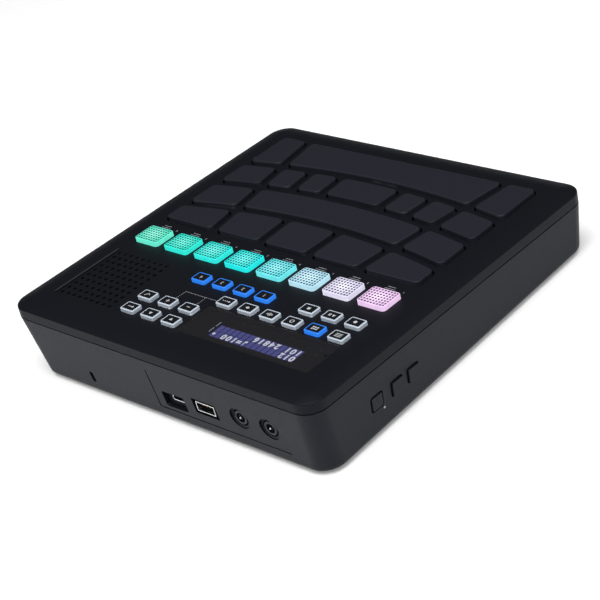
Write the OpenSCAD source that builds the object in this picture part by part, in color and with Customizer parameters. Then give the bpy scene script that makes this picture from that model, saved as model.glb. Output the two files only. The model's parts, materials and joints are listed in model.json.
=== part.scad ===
// Finger drum pad: a wedge-shaped table instrument with struck rubber pads, lit colour pads,
// push buttons, a small display and a speaker. +Z is up, the player sits on the -Y side.

/* [Drum pads] */
// Depth of the rear row, on the centre line
row_1_d = 24.6; // [18:0.1:32]
// Depth of the second row
row_2_d = 20; // [14:0.1:28]
// Depth of the third row
row_3_d = 18.7; // [14:0.1:28]
// Depth of the front row, on the centre line
row_4_d = 21.9; // [16:0.1:32]
// Gap between rows, and between the pads of a row
pad_gap = 5.6; // [4.6:0.1:8]
// Radius of the rear row's front arc
arc_r = 397; // [360:1:600]
// Seams of the rear row, from the centre line
row_1_seams = [18.3, 55.2]; // [0:0.1:90]
// Seams of the second row
row_2_seams = [60.6]; // [0:0.1:90]
// Seams of the third row
row_3_seams = [22, 43.7, 65.5]; // [0:0.1:90]
// Seams of the front row
row_4_seams = [70.6]; // [0:0.1:90]
// Height of a drum pad over the panel
pad_h = 2; // [1:0.1:4]
// Corner radius of a drum pad
pad_corner_r = 3; // [1:0.1:4]
// Open gap between a drum pad and the panel round it
pad_clear = 1.2; // [0.4:0.05:1.4]
// Inset of the drum pads from the edge of the layout
drum_inset = 0.7; // [0:0.05:2]
// Travel of a drum pad when it is struck
pad_travel = 0.7; // [0.3:0.1:1.5]

/* [Colour pads] */
// Number of colour pads
rgb_count = 8; // [4:1:8]
// Width of a colour pad
rgb_w = 18.1; // [14:0.1:20]
// Depth of a colour pad
rgb_d = 14.5; // [10:0.1:18]
// Height of a colour pad over the panel
rgb_h = 2.5; // [1.5:0.1:5]
// Corner radius of a colour pad
rgb_corner_r = 1.8; // [1:0.1:4]
// Panel left between the drum pads and the colour pads
pads_to_rgb = 11.35; // [9:0.05:20]
// Inset of the outer colour pads from the edge of the layout
rgb_inset = 1.3; // [0:0.05:4]

/* [Buttons] */
// Width of a control button
button_w = 10.2; // [7:0.1:12]
// Depth of a control button
button_d = 7.4; // [5:0.1:9]
// Height of a control button over the panel
button_h = 1.85; // [1:0.05:3]
// Corner radius of a control button
button_corner_r = 1.2; // [0.5:0.1:2.4]
// Distance between button columns
button_pitch_x = 15.62; // [13.5:0.01:18]
// Distance between button rows
button_pitch_y = 12.72; // [10.5:0.01:16]
// Travel of a control button or a colour pad
key_travel = 1; // [0.5:0.1:1.5]
// Panel left between the colour pads and the front button row
rgb_to_rows = 11.63; // [8:0.01:20]
// Inset of the first button column from the edge of the layout
button_inset = 1.3; // [0:0.05:4]

/* [Display] */
// Width of the display window
window_w = 92; // [80:0.5:96]
// Depth of the display window
window_d = 25.5; // [22:0.1:32]
// Thickness of the display window
window_t = 1.6; // [1:0.1:2]
// Ledge that the window rests on, round the view opening
window_ledge = 2.6; // [1.5:0.1:4]
// Inset of the window from the edge of the layout
window_inset = 0.75; // [0:0.05:4]
// Panel left between the button rows and the window
rows_to_window = 0.9; // [0.6:0.05:4]
// Panel left between the window and the buttons beside it
window_to_buttons = 2.27; // [2:0.01:6]

/* [Speaker] */
// Columns of grille holes
grille_columns = 9; // [6:1:10]
// Rows of grille holes
grille_rows = 10; // [6:1:11]
// Distance between grille holes
grille_pitch = 4.81; // [4:0.01:5.2]
// Diameter of a grille hole
grille_hole = 2.4; // [1:0.1:3]
// Panel left between the last button column and the grille
buttons_to_grille = 9.35; // [8:0.05:16]
// Inset of the grille from the edge of the layout
grille_inset = 3.1; // [3:0.1:8]
// Width of the side of the speaker's square frame
speaker_w = 47; // [40:0.5:48]
// Depth of the speaker behind its frame
speaker_depth = 15; // [10:0.5:18]

/* [Body] */
// Border between the edge of the layout and the rim, at the sides
side_margin = 18.7; // [17.5:0.1:30]
// Border between the front pad row and the rim
front_margin = 17.25; // [16.5:0.05:30]
// Border between the window and the rim, at the rear
rear_margin = 20.25; // [18:0.05:34]
// Corner radius of the cover in plan
corner_r = 11.4; // [8:0.1:16]
// Slope of the panel, down towards the player, in degrees
wedge = 2.8; // [0.5:0.1:5]
// Height of the panel's centre over the case's underside
mid_h = 42; // [38:0.1:56]
// Thickness of the case walls and floor
wall = 2.4; // [1.8:0.1:3]
// Inward lean of the side walls, in degrees
side_draft = 4.5; // [0.5:0.1:5]
// Inward lean of the rear wall, in degrees
rear_draft = 4.8; // [0.5:0.1:6]
// Inward lean of the front wall, in degrees
front_draft = 4.2; // [0.5:0.1:7]
// Radius along the case's lower edge
bottom_round = 3.3; // [1:0.1:5]
// Corner radius of the underside in plan
base_corner_r = 12.4; // [8:0.1:14]

/* [Top cover] */
// Thickness of the panel
panel_t = 2.4; // [2.2:0.1:3]
// Drop of the crowned border, which is as wide as the corner radius, from the panel to the rim
crown_drop = 2.1; // [0.5:0.1:3.5]
// Height of the upright flange under the rim
flange_h = 5.6; // [4.5:0.1:9]
// Shadow gap between the cover and the case
seam_gap = 0.6; // [0.2:0.1:1.2]
// Thickness of the lip inside the shadow gap
lip_t = 1.6; // [1:0.1:2.4]
// Height of the raised rib beside the grille
rib_h = 0.7; // [0.3:0.1:1.5]

/* [Side buttons] */
// Width and height of a side button
side_button_w = 7.6; // [6:0.1:10]
// Gap round a side button
side_button_gap = 0.85; // [0.3:0.05:1]
// How far the power button stands out of the wall
power_button_h = 0.3; // [0.1:0.1:1.2]
// How far a volume button stands out of the wall
volume_button_h = 0.8; // [0.3:0.1:1.2]
// Travel of a side button
side_travel = 0.8; // [0.4:0.1:1.2]
// Centre of the side buttons below the parting line
side_button_drop = 18.7; // [14:0.1:19.5]
// Power button, forward of the rim's rear edge
power_from_rear = 43.8; // [37:0.05:57]
// Distance from the power button to the first volume button
power_to_volume = 15.2; // [14:0.1:22]
// Distance between the volume buttons
volume_pitch = 12.45; // [12:0.05:18]

/* [Rear sockets] */
// Top of the main board over the case's underside
board_h = 13.1; // [9:0.1:14]
// Small USB socket, from the centre line
usb_c_x = 7; // [6:0.1:10]
// Large USB socket, from the centre line
usb_a_x = 30.7; // [26:0.1:38]
// First 3.5 mm jack, from the centre line
jack_1_x = 56.2; // [50:0.1:62]
// Second 3.5 mm jack, from the centre line
jack_2_x = 76.7; // [70:0.1:84]
// Height of a jack's axis over the main board
jack_rise = 7.8; // [6:0.1:8]
// Radius of a jack's bore
jack_bore_r = 1.8; // [1.75:0.01:1.9]
// Depth of a jack's bore
jack_bore_l = 14; // [12:0.5:16]
// Lock slot, from the centre line
slot_x = 60.2; // [40:0.1:80]
// Height of the lock slot's centre over the case's underside
slot_h = 11; // [8:0.1:16]

/* [Feet and screws] */
// Diameter of a rubber foot
foot_dia = 14; // [10:0.5:18]
// How far a foot stands out of the underside
foot_h = 1.8; // [1:0.1:4]
// Inset of a foot's centre from the case's side
foot_inset = 24; // [18:0.5:40]
// Inset of a case screw from the side of the rim
screw_inset = 9; // [8:0.1:9.4]
// Distance of the front and rear case screws from the rim's ends
screw_end = 24; // [20:0.5:28]
// Radius of a case screw's shank
screw_r = 1.4; // [1.2:0.1:1.6]

/* [Hidden] */
$fn = 48;
arc_fn = 480;
hull_fn = 64;
eps = 0.01;
cut_over = 1;
least_r = 0.4;

// Clearances
pad_catch = 0.7;
key_clear = 0.35;
press_clear = 0.2;
fit_clear = 0.1;
part_clear = 0.3;

// Retaining flanges under the panel
flange_w = 1.4;
pad_flange_w = pad_clear + pad_catch;
flange_t = 1.2;
stem_h = 0.4;
stem_r = 1.5;
switch_w = 4;
switch_h = 1.3;
lamp_w = 3.2;
lamp_h = 0.9;
board_t = 1.6;

// Width of the layout, which the upper control field sets, and the body round it
grille_w = (grille_columns - 1) * grille_pitch;
beside_w = 2 * button_pitch_x + button_w;
pads_w = window_inset + window_w + window_to_buttons + beside_w
    + buttons_to_grille + grille_w + grille_inset;
half_w = pads_w / 2;
body_w = pads_w + 2 * side_margin;
pads_d = row_1_d + row_2_d + row_3_d + row_4_d + 3 * pad_gap;
rows_d = button_pitch_y + button_d;
body_d = front_margin + pads_d + pads_to_rgb + rgb_d + rgb_to_rows + rows_d
    + rows_to_window + window_d + rear_margin;

// Places on the panel, from its centre
rear_rim_y = body_d / 2;
front_rim_y = -body_d / 2;
pads_front_y = front_rim_y + front_margin;
pads_rear_y = pads_front_y + pads_d;
rgb_y = pads_rear_y + pads_to_rgb + rgb_d / 2;
rgb_pitch = (pads_w - 2 * rgb_inset - rgb_w) / (rgb_count - 1);
row_d_y = rgb_y + rgb_d / 2 + rgb_to_rows + button_d / 2;
row_c_y = row_d_y + button_pitch_y;
window_front_y = row_c_y + button_d / 2 + rows_to_window;
window_y = window_front_y + window_d / 2;
window_rear_y = window_front_y + window_d;
window_x = -half_w + window_inset + window_w / 2;
window_over = 0.96;
window_corner_r = 1.5;
view_corner_r = 1;
row_a_y = window_rear_y - window_over - button_d / 2;
row_b_y = row_a_y - button_pitch_y;
button_rows = [row_a_y, row_b_y, row_c_y, row_d_y];
button_x0 = -half_w + button_inset + button_w / 2;
beside_x0 = window_x + window_w / 2 + window_to_buttons + button_w / 2;
grille_d = (grille_rows - 1) * grille_pitch;
grille_x = half_w - grille_inset - grille_w / 2;
grille_rear = 1.6;
grille_y = window_rear_y - grille_rear - grille_d / 2;
rib_out = 0.6;
rib_x = half_w + rib_out;
rib_w = 1.2;

// Pad rows, as arcs about one centre behind the body
row_depths = [row_1_d, row_2_d, row_3_d, row_4_d];
row_seams = [row_1_seams, row_2_seams, row_3_seams, row_4_seams];
row_letters = ["a", "b", "c", "d"];
arc_y = pads_rear_y - row_1_d + arc_r;
far_r = 2 * arc_r;
outer_angle = 40;

function row_front_r(row) =
    row == 0 ? arc_r : row_front_r(row - 1) + pad_gap + row_depths[row];
function row_rear_r(row) = row_front_r(row - 1) + pad_gap;
function row_mid_r(row) = row_front_r(row) - row_depths[row] / 2;
function seam_angle(row, i) = asin(row_seams[row][i] / row_mid_r(row));
function row_seam_count(row) = len(row_seams[row]);
function row_angles(row) = concat(
    [-outer_angle],
    [for (i = [row_seam_count(row) - 1 : -1 : 0]) -seam_angle(row, i)],
    [for (i = [0 : row_seam_count(row) - 1]) seam_angle(row, i)],
    [outer_angle]
);
PADS = [for (row = [0 : 3]) for (k = [0 : 2 * row_seam_count(row)]) [row, k]];
function pad_name(pad) = str("drum_pad_", row_letters[pad[0]], pad[1] + 1);

// Control buttons: name, column, row. The two rear rows start beside the window
BUTTONS = [
    ["nav_left_button", 0, 0],
    ["nav_right_button", 1, 0],
    ["back_button", 2, 0],
    ["minus_button", 0, 1],
    ["plus_button", 1, 1],
    ["confirm_button", 2, 1],
    for (i = [0 : 5]) [str("mode_button_", i + 1), i, 2],
    ["record_button", 0, 3],
    ["play_button", 1, 3],
    ["stop_button", 2, 3],
    for (i = [0 : 3]) [str("bank_button_", i + 1), i + 4, 3],
];
function button_place(b) =
    [(b[2] < 2 ? beside_x0 : button_x0) + b[1] * button_pitch_x, button_rows[b[2]], 0];
function rgb_place(i) = [(i - (rgb_count - 1) / 2) * rgb_pitch, rgb_y, 0];
function rgb_name(i) = str("rgb_pad_", i + 1);

// Heights under the panel
part_z = crown_drop + flange_h;
case_top_z = part_z + seam_gap;
lip_h = 2;
lip_step = 0.3 * wall;
pad_flange_z = panel_t + flange_t;
sensor_z = pad_flange_z + pad_travel + press_clear;
control_z = pad_flange_z + stem_h + key_travel + press_clear + switch_h;
display_gap = 0.3;
boss_drop = 8;
boss_z = part_z + boss_drop;
screw_blind = 1;
screw_tip_z = part_z - screw_blind;
speaker_seat = 1.6;
speaker_z = panel_t + speaker_seat;
speaker_t = 1.6;
speaker_corner_r = 5;
basket_inset = 4;
basket_r = speaker_w / 2 - basket_inset;
basket_h = 0.45 * speaker_depth;
magnet_r = 0.7 * basket_r;
cone_t = 1.2;
cone_rim = 2;
cone_r = 0.55 * magnet_r;

// Rib frames that carry the boards
frame_t = 2;
frame_clear = 0.8;
frame_x = half_w + max(flange_w, pad_flange_w - drum_inset) + frame_clear;
rib_embed = 0.6;

// Crowned border
crown_steps = 8;
crown_r = (pow(corner_r, 2) + pow(crown_drop, 2)) / (2 * crown_drop);
function crown_angle(inset) = asin((corner_r - inset) / crown_r);
function crown_arc(inset) = [
    for (i = [0 : crown_steps])
        let (a = crown_angle(inset) * i / crown_steps)
        [crown_r * sin(a), -crown_r * (1 - cos(a))]
];

// The body's frame, centred over its own box
frame_shift_y = -sin(wedge) * (case_top_z + crown_drop) / 2;
panel_mid_z = foot_h + mid_h;

// The case in its standing frame, with heights from its underside
function panel_y(y, z) = y * cos(wedge) + z * sin(wedge) + frame_shift_y;
function panel_h(y, z) = mid_h + y * sin(wedge) - z * cos(wedge);
case_rear_h = panel_h(rear_rim_y, case_top_z);
case_rear_y = panel_y(rear_rim_y, case_top_z);
case_front_h = panel_h(front_rim_y, case_top_z);
case_front_y = panel_y(front_rim_y, case_top_z);
base_rear_y = case_rear_y - case_rear_h * tan(rear_draft);
base_front_y = case_front_y + case_front_h * tan(front_draft);
function case_drop(y) =
    case_front_h + (case_rear_h - case_front_h) * (y - case_front_y) / (case_rear_y - case_front_y);
function base_half_w(y) = body_w / 2 - case_drop(y) * cos(wedge) * tan(side_draft);
function rear_wall_y(h) = base_rear_y + h * tan(rear_draft);
// How far the inside of a leaning wall stands in from its outside, over the wall itself
function wall_slack(draft) = (wall + bottom_round) * tan(draft);
function underside_z(y) = -mid_h / cos(wedge) - y * tan(wedge);
round_steps = 4;

// Side buttons: name, place along the panel, height out of the wall
power_y = rear_rim_y - power_from_rear;
SIDE_BUTTONS = [
    ["power_button", power_y, power_button_h],
    ["volume_up_button", power_y - power_to_volume, volume_button_h],
    ["volume_down_button", power_y - power_to_volume - volume_pitch, volume_button_h],
];
side_corner_r = 0.8;
side_catch = 0.35;
side_flange_w = side_button_gap + side_catch;
side_clear = wall_slack(side_draft) + 2 * fit_clear;
side_board_z = wall + side_clear + flange_t + side_travel + press_clear + switch_h;
side_post_w = 3;
side_post_y = side_button_w / 2 + side_flange_w + part_clear + side_post_w / 2;
side_board_half = side_button_w / 2 + side_flange_w;

// Rear sockets
usb_c_rise = 2.4;
usb_c_w = 9;
usb_c_h = 3.2;
usb_c_l = 8;
usb_c_back = 1.5;
usb_c_tongue_t = 0.7;
usb_c_tongue_in = 1;
well_w = 16.4;
well_h = 10;
well_d = 3;
well_r = 1.2;
usb_a_rise = 5.3;
usb_a_w = 13.2;
usb_a_h = 5.8;
usb_a_l = 15;
usb_a_gap = 2;
usb_a_corner_r = 0.6;
usb_a_back = 2;
usb_a_tongue_t = 1.8;
usb_a_tongue_in = 2;
usb_a_tongue_side = 1.1;
usb_a_tongue_rise = -1.16;
shell_t = 0.4;
jack_w = 12;
jack_l = 16;
jack_nose_r = 4.1;
jack_hole_r = 5;
jack_well_r = 6.5;
jack_well_d = 1.2;
jack_inset = 1;
jack_lead_r = 2.9;
jack_lead_l = 1;
jacks_x = [-jack_1_x, -jack_2_x];
jack_h = board_h + jack_rise;
socket_inset = 0.5;
main_board_w = 112;
main_board_x = -41;
main_board_l = 34;
board_corner_r = 2;
main_board_y = rear_wall_y(board_h - board_t) - wall - wall_slack(rear_draft) - fit_clear - main_board_l / 2;
post_r = 3;
well_back = well_d + wall + socket_inset;
well_back_y = rear_wall_y(board_h);
groove_w = 0.8;
groove_d = 0.5;
groove_x = 7.2;
groove_low = 7.7;
groove_high = 32.8;
groove_past = 10.2;
groove_end_x = jack_2_x + groove_past;
slot_w = 3;
slot_l = 7;

// Battery, feet and screws
battery_w = 100;
battery_d = 58;
battery_h = 13;
battery_y = -38;
battery_r = 4;
tray_t = 1.6;
tray_h = 5;
foot_sink = 0.8;
boss_r = 3.6;
column_r = 4.6;
head_r = 2.8;
head_t = 2;
head_depth = 5;
screw_clear = 0.15;
screw_x = body_w / 2 - screw_inset;
screw_places = [front_rim_y + screw_end, pads_rear_y + pads_to_rgb / 2, rear_rim_y - screw_end];
SCREWS = [for (sx = [-1, 1]) for (y = screw_places) [sx * screw_x, y]];
FEET = [for (sx = [-1, 1]) for (sy = [-1, 1]) [sx, sy]];

// Frames that pieces are placed in

module on_panel() {
    translate([0, frame_shift_y, panel_mid_z])
        rotate([wedge, 0, 0])
            children();
}

module on_base() {
    translate([0, 0, foot_h])
        children();
}

// On the left wall: x runs up the wall, y to the rear, z outwards
module on_side(y) {
    x = -body_w / 2 + (side_button_drop - seam_gap) * tan(side_draft);
    on_panel()
        translate([x, y, -part_z - side_button_drop])
            rotate([0, -90 - side_draft, 0])
                children();
}

// On the rear wall at its foot: x runs to the left, y up the wall, z outwards
module on_rear() {
    on_base()
        translate([0, base_rear_y, 0])
            rotate([90 + rear_draft, 0, 180])
                children();
}

// Facing the rear at a height over the underside: x to the left, y up, z outwards
module facing_rear(x, h) {
    on_base()
        translate([x, rear_wall_y(h), h])
            rotate([90, 0, 180])
                children();
}

// Shared outlines

module rounded(w, d, r) {
    square([w - 2 * r, d], center = true);
    square([w, d - 2 * r], center = true);
    for (x = [-1, 1], y = [-1, 1])
        translate([x * (w / 2 - r), y * (d / 2 - r)])
            circle(r);
}

module ring(w, d, r, t) {
    difference() {
        rounded(w, d, r);
        rounded(w - 2 * t, d - 2 * t, max(r - t, least_r));
    }
}

module slab(z_low, z_high) {
    translate([0, 0, z_low])
        linear_extrude(z_high - z_low)
            children();
}

module pad_zone() {
    translate([drum_inset - half_w, pads_front_y])
        square([pads_w - 2 * drum_inset, pads_d]);
}

module arc_disc(r) {
    translate([0, arc_y])
        circle(r, $fn = arc_fn);
}

module row_band(row) {
    difference() {
        intersection() {
            pad_zone();
            if (row < 3)
                arc_disc(row_front_r(row));
            else
                arc_disc(far_r);
        }
        if (row > 0)
            arc_disc(row_rear_r(row));
    }
}

module seam_bar(angle) {
    translate([0, arc_y])
        rotate(angle)
            translate([-pad_gap / 2, -far_r])
                square([pad_gap, far_r]);
}

module pad_sharp(row, k) {
    angles = row_angles(row);
    a = angles[k];
    b = angles[k + 1];
    difference() {
        intersection() {
            row_band(row);
            translate([0, arc_y])
                polygon([[0, 0], far_r * [sin(a), -cos(a)], far_r * [sin(b), -cos(b)]]);
        }
        seam_bar(a);
        seam_bar(b);
    }
}

module pad_outline(pad, grow) {
    offset(r = pad_corner_r + grow, $fn = 20)
        offset(delta = -pad_corner_r)
            pad_sharp(pad[0], pad[1]);
}

// Pieces that move

module drum_pad(pad) {
    color("#2b2d32")
        on_panel() {
            slab(-panel_t, pad_h) pad_outline(pad, 0);
            slab(-pad_flange_z, -panel_t) pad_outline(pad, pad_flange_w);
        }
}

module key(w, d, r, h) {
    slab(-panel_t, h) rounded(w, d, r);
    slab(-pad_flange_z, -panel_t) rounded(w + 2 * flange_w, d + 2 * flange_w, r + flange_w);
}

module rgb_pad(i) {
    color("#7fe0e6")
        on_panel()
            translate(rgb_place(i))
                key(rgb_w, rgb_d, rgb_corner_r, rgb_h);
}

module control_button(b) {
    color("#c9d0d6")
        on_panel()
            translate(button_place(b)) {
                key(button_w, button_d, button_corner_r, button_h);
                translate([0, 0, -pad_flange_z - stem_h])
                    cylinder(r = stem_r, h = stem_h + eps);
            }
}

module side_button(s) {
    flange_z = -wall - side_clear;
    color("#3a3c41")
        on_side(s[1]) {
            slab(flange_z, s[2])
                rounded(side_button_w, side_button_w, side_corner_r);
            slab(flange_z - flange_t, flange_z)
                rounded(
                    side_button_w + 2 * side_flange_w,
                    side_button_w + 2 * side_flange_w,
                    side_corner_r + side_flange_w
                );
        }
}

// Top cover

// Section of the border, from the flat panel's edge outwards
module crown_section(flat, inset, low_z) {
    arc = [for (p = crown_arc(inset)) [flat + p[0], p[1]]];
    polygon(concat([[0, low_z], [0, 0]], arc, [[flat + corner_r - inset, low_z]]));
}

module crown_strip(flat, length, inset, low_z) {
    rotate([90, 0, 0])
        linear_extrude(length, center = true)
            for (side = [0, 1])
                mirror([side, 0])
                    crown_section(flat, inset, low_z);
}

module crowned_block(inset, low_z) {
    flat_x = body_w / 2 - corner_r;
    flat_y = body_d / 2 - corner_r;
    crown_strip(flat_x, 2 * flat_y, inset, low_z);
    rotate(90)
        crown_strip(flat_y, 2 * flat_x, inset, low_z);
    for (quarter = [0 : 3]) {
        sx = quarter == 0 || quarter == 3 ? 1 : -1;
        sy = quarter < 2 ? 1 : -1;
        translate([sx * flat_x, sy * flat_y, 0])
            rotate(90 * quarter)
                rotate_extrude(angle = 90)
                    crown_section(0, inset, low_z);
    }
}

// Upright ribs under the panel, as a rectangle between two places along the panel
module rib_frame(y_front, y_rear, low_z) {
    translate([0, (y_front + y_rear) / 2])
        slab(low_z, -panel_t + rib_embed)
            ring(2 * (frame_x + frame_t), y_rear - y_front, frame_t, frame_t);
}

sensor_front_y = pads_front_y - pad_flange_w - frame_clear - frame_t;
sensor_rear_y = pads_rear_y + pad_flange_w + frame_clear + frame_t;
control_front_y = rgb_y - rgb_d / 2 - flange_w - frame_clear - frame_t;
control_rear_y = window_rear_y + 2 * frame_t;

module cover_ribs() {
    rib_frame(sensor_front_y, sensor_rear_y, -sensor_z);
    rib_frame(control_front_y, control_rear_y, -control_z);
    translate([grille_x, grille_y])
        slab(-speaker_z, -panel_t + rib_embed)
            ring(speaker_w, speaker_w, frame_t, frame_t);
    for (s = SCREWS)
        translate([s[0], s[1], -boss_z])
            cylinder(r = boss_r, h = boss_z - crown_drop);
}

module cover_lip() {
    w = body_w - 2 * wall;
    d = body_d - 2 * wall;
    r = corner_r - wall;
    slab(-part_z, -part_z + lip_h)
        ring(w + 2 * lip_step, d + 2 * lip_step, r + lip_step, lip_t + lip_step);
    slab(-case_top_z - lip_h, -part_z + lip_h)
        ring(w - 2 * lip_step, d - 2 * lip_step, r - lip_step, lip_t - lip_step);
}

module cover_openings() {
    for (pad = PADS)
        pad_outline(pad, pad_clear);
    for (i = [0 : rgb_count - 1])
        translate(rgb_place(i))
            rounded(rgb_w + 2 * key_clear, rgb_d + 2 * key_clear, rgb_corner_r + key_clear);
    for (b = BUTTONS)
        translate(button_place(b))
            rounded(button_w + 2 * key_clear, button_d + 2 * key_clear, button_corner_r + key_clear);
    translate([window_x, window_y])
        rounded(window_w - 2 * window_ledge, window_d - 2 * window_ledge, view_corner_r);
}

module grille_holes() {
    for (i = [0 : grille_columns - 1], j = [0 : grille_rows - 1])
        translate([
            grille_x - grille_w / 2 + i * grille_pitch,
            grille_y - grille_d / 2 + j * grille_pitch
        ])
            circle(d = grille_hole);
}

module top_cover() {
    color("#1b1b1f")
        on_panel()
            difference() {
                union() {
                    difference() {
                        crowned_block(0, -part_z);
                        translate([0, 0, -panel_t])
                            crowned_block(wall, -2 * part_z);
                    }
                    cover_ribs();
                    cover_lip();
                    translate([rib_x, grille_y])
                        slab(-panel_t / 2, rib_h)
                            rounded(rib_w, grille_d + grille_pitch, rib_w / 2 - eps);
                }
                slab(-panel_t - eps, cut_over)
                    cover_openings();
                slab(-panel_t - eps, cut_over)
                    grille_holes();
                translate([window_x, window_y])
                    slab(-window_t, cut_over)
                        rounded(window_w, window_d, window_corner_r);
                for (s = SCREWS)
                    translate([s[0], s[1], -boss_z - cut_over])
                        cylinder(r = screw_r + screw_clear, h = boss_z + cut_over - screw_tip_z);
            }
}

// Bottom case

module case_corners(z, r) {
    for (x = [-1, 1], y = [-1, 1])
        translate([x * (body_w / 2 - corner_r), y * (body_d / 2 - corner_r), z])
            cylinder(r = r, h = eps, $fn = hull_fn);
}

module base_corners(z, r) {
    for (y = [base_front_y + base_corner_r, base_rear_y - base_corner_r], x = [-1, 1])
        translate([x * (base_half_w(y) - base_corner_r), y, z])
            cylinder(r = r, h = eps, $fn = hull_fn);
}

module case_form(inset, top_z) {
    hull() {
        on_panel()
            case_corners(-top_z, corner_r - inset);
        on_base()
            for (i = [0 : round_steps]) {
                a = 90 * i / round_steps;
                base_corners(
                    inset + bottom_round * (1 - sin(a)),
                    base_corner_r - inset - bottom_round * (1 - cos(a))
                );
            }
    }
}

module case_columns() {
    for (s = SCREWS) {
        low = underside_z(s[1]) + wall / 2;
        on_panel()
            translate([s[0], s[1], low])
                cylinder(r = column_r, h = -boss_z - low);
    }
}

module case_posts() {
    on_base()
        for (x = [-1, 1], y = [-1, 1])
            translate([
                main_board_x + x * (main_board_w / 2 - 2 * post_r),
                main_board_y + y * (main_board_l / 2 - 2 * post_r),
                wall / 2
            ])
                cylinder(r = post_r, h = board_h - board_t - wall / 2);
    for (i = [0, 1])
        on_side(i == 0 ? SIDE_BUTTONS[0][1] + side_post_y : SIDE_BUTTONS[2][1] - side_post_y)
            slab(-side_board_z, -wall / 2)
                square(side_post_w, center = true);
}

module battery_tray() {
    on_base()
        translate([0, battery_y, wall / 2])
            linear_extrude(tray_h)
                ring(
                    battery_w + 2 * (tray_t + part_clear),
                    battery_d + 2 * (tray_t + part_clear),
                    battery_r + tray_t,
                    tray_t
                );
}

module well_block() {
    facing_rear(-usb_c_x, board_h + usb_c_rise)
        slab(-well_d - wall, -wall / 2)
            square([well_w + 2 * wall, well_h + 2 * wall], center = true);
}

module rear_cuts() {
    facing_rear(-usb_c_x, board_h + usb_c_rise) {
        slab(-well_d, well_d) rounded(well_w, well_h, well_r);
        slab(-well_d - 2 * wall, 0)
            rounded(usb_c_w + 4 * fit_clear, usb_c_h + 4 * fit_clear, usb_c_h / 2 + fit_clear);
    }
    facing_rear(-usb_a_x, board_h + usb_a_rise)
        slab(-3 * wall, 2 * wall)
            rounded(usb_a_w + 2 * usb_a_gap, usb_a_h + 2 * usb_a_gap, usb_a_corner_r);
    for (x = jacks_x)
        facing_rear(x, jack_h) {
            translate([0, 0, -3 * wall])
                cylinder(r = jack_hole_r, h = 6 * wall);
            translate([0, 0, -jack_well_d])
                cylinder(r = jack_well_r, h = 3 * wall);
        }
    facing_rear(slot_x, slot_h)
        slab(-3 * wall, 2 * wall)
            rounded(slot_w, slot_l, slot_w / 3);
    on_rear()
        slab(-groove_d, wall) {
            translate([-groove_x - groove_w / 2, groove_low])
                square([groove_w, groove_high - groove_low]);
            translate([-groove_x - groove_w / 2, groove_low])
                square([groove_end_x + groove_x, groove_w]);
        }
}

module side_cuts() {
    opening = side_button_w + 2 * side_button_gap;
    for (s = SIDE_BUTTONS)
        on_side(s[1])
            slab(-2 * wall, 2 * wall)
                rounded(opening, opening, side_corner_r + side_button_gap);
}

module foot_places() {
    for (f = FEET) {
        y = f[1] > 0 ? base_rear_y - foot_inset : base_front_y + foot_inset;
        translate([f[0] * (base_half_w(y) - foot_inset), y])
            children();
    }
}

module bottom_case() {
    color("#3c3e42")
        difference() {
            union() {
                difference() {
                    case_form(0, case_top_z);
                    case_form(wall, part_z - cut_over);
                }
                case_columns();
                case_posts();
                battery_tray();
                well_block();
            }
            rear_cuts();
            side_cuts();
            foot_places()
                translate([0, 0, foot_h - cut_over])
                    cylinder(d = foot_dia + 2 * fit_clear, h = foot_sink + cut_over);
            for (s = SCREWS)
                on_panel()
                    translate([s[0], s[1], underside_z(s[1])]) {
                        translate([0, 0, -head_depth])
                            cylinder(r = head_r + part_clear, h = 2 * head_depth);
                        cylinder(r = screw_r + screw_clear, h = mid_h);
                    }
        }
}

// Display, boards and inner pieces

module display_window() {
    color("#2d2c2e")
        on_panel()
            translate([window_x, window_y])
                slab(-window_t, 0)
                    rounded(window_w - 2 * fit_clear, window_d - 2 * fit_clear, window_corner_r - fit_clear);
}

module display_module() {
    color("#4a4fd0")
        on_panel()
            translate([window_x, window_y])
                slab(-control_z, -panel_t - display_gap)
                    square([window_w - 4 * window_ledge, window_d - 2 * window_ledge], center = true);
}

module control_board() {
    left = -frame_x - frame_t;
    speaker_left = grille_x - speaker_w / 2 - frame_clear;
    speaker_front = grille_y - speaker_w / 2 - frame_clear;
    color("#1f5a34")
        on_panel() {
            slab(-control_z - board_t, -control_z) {
                translate([left, control_front_y])
                    square([speaker_left - left, control_rear_y - control_front_y]);
                translate([left, control_front_y])
                    square([-2 * left, speaker_front - control_front_y]);
            }
            slab(-control_z - eps, -control_z + switch_h)
                for (b = BUTTONS)
                    translate(button_place(b))
                        square(switch_w, center = true);
            slab(-control_z - eps, -control_z + lamp_h)
                for (i = [0 : rgb_count - 1])
                    translate(rgb_place(i))
                        square(lamp_w, center = true);
        }
}

module pad_sensor_board() {
    color("#1f5a34")
        on_panel()
            translate([0, (sensor_front_y + sensor_rear_y) / 2])
                slab(-sensor_z - board_t, -sensor_z)
                    square([2 * (frame_x + frame_t), sensor_rear_y - sensor_front_y], center = true);
}

module main_board() {
    span = SIDE_BUTTONS[0][1] - SIDE_BUTTONS[2][1];
    color("#1f5a34") {
        on_base()
            translate([0, 0, board_h - board_t])
                linear_extrude(board_t)
                    difference() {
                        translate([main_board_x, main_board_y])
                            rounded(main_board_w, main_board_l, board_corner_r);
                        translate([-usb_c_x, well_back_y])
                            square([well_w + 2 * wall + 2 * frame_clear, 2 * well_back], center = true);
                    }
        on_side((SIDE_BUTTONS[0][1] + SIDE_BUTTONS[2][1]) / 2)
            slab(-side_board_z - board_t, -side_board_z)
                square([2 * side_board_half, span + 2 * side_post_y + side_post_w], center = true);
        for (s = SIDE_BUTTONS)
            on_side(s[1])
                slab(-side_board_z - eps, -side_board_z + switch_h)
                    square(switch_w, center = true);
    }
}

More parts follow.
